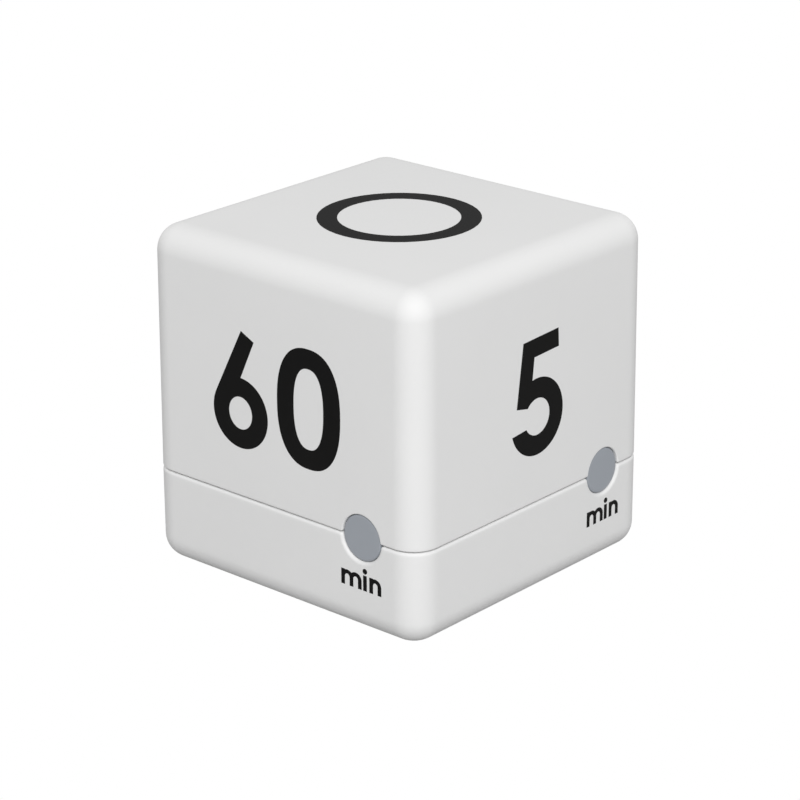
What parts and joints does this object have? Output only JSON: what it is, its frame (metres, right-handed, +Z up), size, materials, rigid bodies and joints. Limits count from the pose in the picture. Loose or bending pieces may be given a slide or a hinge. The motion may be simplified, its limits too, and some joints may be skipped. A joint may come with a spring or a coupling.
{
  "type": "kitchen timer",
  "caption": "Cube countdown timer: the minutes printed on the side turned upwards are counted down by tilt switches; display, switch and battery door underneath.",
  "frame": {"origin": "middle of the underside", "axes": "+Z up; -Y is the 60 minute side, +X the 5 minute side, +Y the 15 minute side, -X the 30 minute side"},
  "size_m": [0.061, 0.061, 0.061],
  "materials": {
    "white_plastic": "satin moulded white",
    "grey_window": "frosted grey",
    "clear_lens": "polished clear",
    "lcd_glass": "polished",
    "polariser_film": "grey film",
    "reflector_film": "grey-green film",
    "foam": "black foam",
    "black_plastic": "moulded black",
    "knob_plastic": "moulded dark grey",
    "ribbon_film": "amber film",
    "board_laminate": "green solder mask",
    "epoxy": "black epoxy",
    "ceramic": "tan ceramic",
    "led_resin": "milky resin",
    "screw_steel": "zinc plated",
    "spring_steel": "nickel plated",
    "sheet_steel": "drawn sheet",
    "gold_plate": "gold plated",
    "header_glass": "fused bead",
    "cell_can": "plated can",
    "cell_jacket": "printed film",
    "magnet_ferrite": "ferrite",
    "copper_wire": "enamelled copper",
    "printing_ink": "printed black",
    "soft_iron": "plain"
  },
  "bodies": {
    "housing": {"base_shell": "white_plastic", "battery_cell_1": "cell_can", "battery_cell_2": "cell_can", "battery_jacket_1": "cell_jacket", "battery_jacket_2": "cell_jacket", "board_screws": "screw_steel", "buzzer_base": "black_plastic", "buzzer_case": "black_plastic", "buzzer_coil": "copper_wire", "buzzer_core": "soft_iron", "buzzer_diaphragm": "soft_iron", "buzzer_gasket": "foam", "buzzer_magnet": "magnet_ferrite", "chip_capacitors": "ceramic", "chip_resistors": "epoxy", "circuit_board": "board_laminate", "contact_bridge": "spring_steel", "contact_negative": "spring_steel", "contact_positive": "spring_steel", "crystal_can": "sheet_steel", "display_lens": "clear_lens", "housing_screws": "screw_steel", "indicator_leds": "led_resin", "lcd_frame": "black_plastic", "lcd_front_glass": "lcd_glass", "lcd_polariser": "polariser_film", "lcd_rear_glass": "lcd_glass", "lcd_reflector": "reflector_film", "lcd_ribbon": "ribbon_film", "lens_tape": "foam", "light_window_15": "grey_window", "light_window_30": "grey_window", "light_window_5": "grey_window", "light_window_60": "grey_window", "processor_blob": "epoxy", "spring_1": "spring_steel", "spring_2": "spring_steel", "switch_case": "sheet_steel", "switch_leads": "gold_plate", "tilt_can_15": "sheet_steel", "tilt_can_30": "sheet_steel", "tilt_can_5": "sheet_steel", "tilt_can_60": "sheet_steel", "tilt_header_15": "header_glass", "tilt_header_30": "header_glass", "tilt_header_5": "header_glass", "tilt_header_60": "header_glass", "tilt_pins_15": "gold_plate", "tilt_pins_30": "gold_plate", "tilt_pins_5": "gold_plate", "tilt_pins_60": "gold_plate", "upper_shell": "white_plastic"},
    "battery_door": {"battery_door": "white_plastic"},
    "door_screw": {"door_screw": "screw_steel"},
    "switch_knob": {"switch_knob": "knob_plastic", "switch_slider": "black_plastic"},
    "ball_60": {"tilt_ball_60": "gold_plate"},
    "ball_5": {"tilt_ball_5": "gold_plate"},
    "ball_15": {"tilt_ball_15": "gold_plate"},
    "ball_30": {"tilt_ball_30": "gold_plate"}
  },
  "joints": [
    {"name": "battery_door_swing", "type": "hinge", "parent": "housing", "child": "battery_door", "pos_m": [0, 0.01235, 0.0002], "axis": [1, 0, 0], "range_deg": [0, 80]},
    {"name": "door_screw_turn", "type": "hinge", "parent": "battery_door", "child": "door_screw", "pos_m": [0, -0.0145, 0.001], "axis": [0, 0, 1], "continuous": true},
    {"name": "switch_knob_slide", "type": "slide", "parent": "housing", "child": "switch_knob", "axis": [1, 0, 0], "range_m": [0, 0.0025]},
    {"name": "tilt_ball_60_roll", "type": "slide", "parent": "housing", "child": "ball_60", "axis": [0, -0.9781, 0.2079], "range_m": [0, 0.0022]},
    {"name": "tilt_ball_5_roll", "type": "slide", "parent": "housing", "child": "ball_5", "axis": [0.9781, 0, 0.2079], "range_m": [0, 0.0022]},
    {"name": "tilt_ball_15_roll", "type": "slide", "parent": "housing", "child": "ball_15", "axis": [0, 0.9781, 0.2079], "range_m": [0, 0.0022]},
    {"name": "tilt_ball_30_roll", "type": "slide", "parent": "housing", "child": "ball_30", "axis": [-0.9781, 0, 0.2079], "range_m": [0, 0.0022]}
  ]
}
